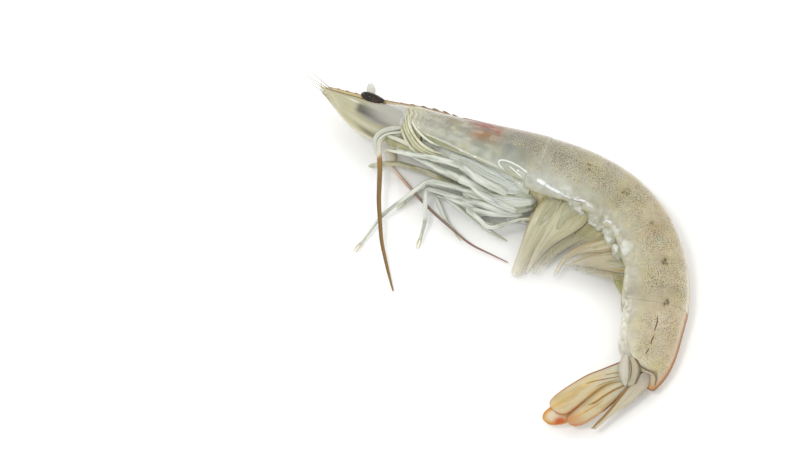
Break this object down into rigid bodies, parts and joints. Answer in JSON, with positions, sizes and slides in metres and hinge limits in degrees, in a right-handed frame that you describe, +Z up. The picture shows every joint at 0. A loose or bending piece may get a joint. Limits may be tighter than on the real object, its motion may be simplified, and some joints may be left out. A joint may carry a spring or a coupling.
{
  "type": "brown shrimp",
  "caption": "Whole raw shrimp with head and shell on, lying on its side with the tail curled under, thin legs, swimmerets, feelers and a fanned tail.",
  "frame": {"origin": "middle of the footprint's bounding box, on the surface the right flank rests on", "axes": "+Z up, out of the left flank; +X from the head towards the outside of the curled abdomen; +Y towards the back of the carapace"},
  "size_m": [0.0964, 0.099, 0.0154],
  "materials": {
    "shell": "wet, slightly see-through raw shell, grey-beige with fine dark brown speckles",
    "fin": "wet, thin, see-through amber with darker ribs and an orange-red tip",
    "scale": "wet, thin, pale olive-cream with a grey blot",
    "eye": "glossy black-brown",
    "limb": "wet, milky, greenish white",
    "feeler": "wet, orange-brown to pinkish white",
    "swimmeret": "wet, thin, olive-yellow, clearer towards the ends",
    "lobe": "wet, pale, see-through"
  },
  "bodies": {
    "root": {"carapace": "shell", "abdomen_1": "shell", "abdomen_2": "shell", "abdomen_3": "shell", "abdomen_4": "shell", "abdomen_5": "shell", "abdomen_6": "shell", "telson": "fin", "uropod_base_left": "fin", "uropod_base_right": "fin", "uropod_outer_left": "fin", "uropod_inner_left": "fin", "uropod_inner_right": "fin", "uropod_outer_right": "fin", "antennal_scale_left": "scale", "antennal_scale_right": "scale", "eye_left": "eye", "eye_right": "eye", "maxilliped_left": "limb", "maxilliped_right": "limb", "leg_1_left": "limb", "leg_1_right": "limb", "leg_2_left": "limb", "leg_2_right": "limb", "leg_3_left": "limb", "leg_3_right": "limb", "leg_4_left": "limb", "leg_4_right": "limb", "leg_5_left": "limb", "leg_5_right": "limb", "antenna_left": "feeler", "antenna_right": "feeler", "antennule_left": "feeler", "antennule_right": "feeler", "pleopod_1_left": "swimmeret", "pleopod_1_right": "swimmeret", "pleopod_2_left": "swimmeret", "pleopod_2_right": "swimmeret", "pleopod_3_left": "swimmeret", "pleopod_3_right": "swimmeret", "pleopod_4_left": "swimmeret", "pleopod_4_right": "swimmeret", "pleopod_5_left": "swimmeret", "pleopod_5_right": "swimmeret", "ocular_lobe": "lobe"}
  },
  "joints": []
}
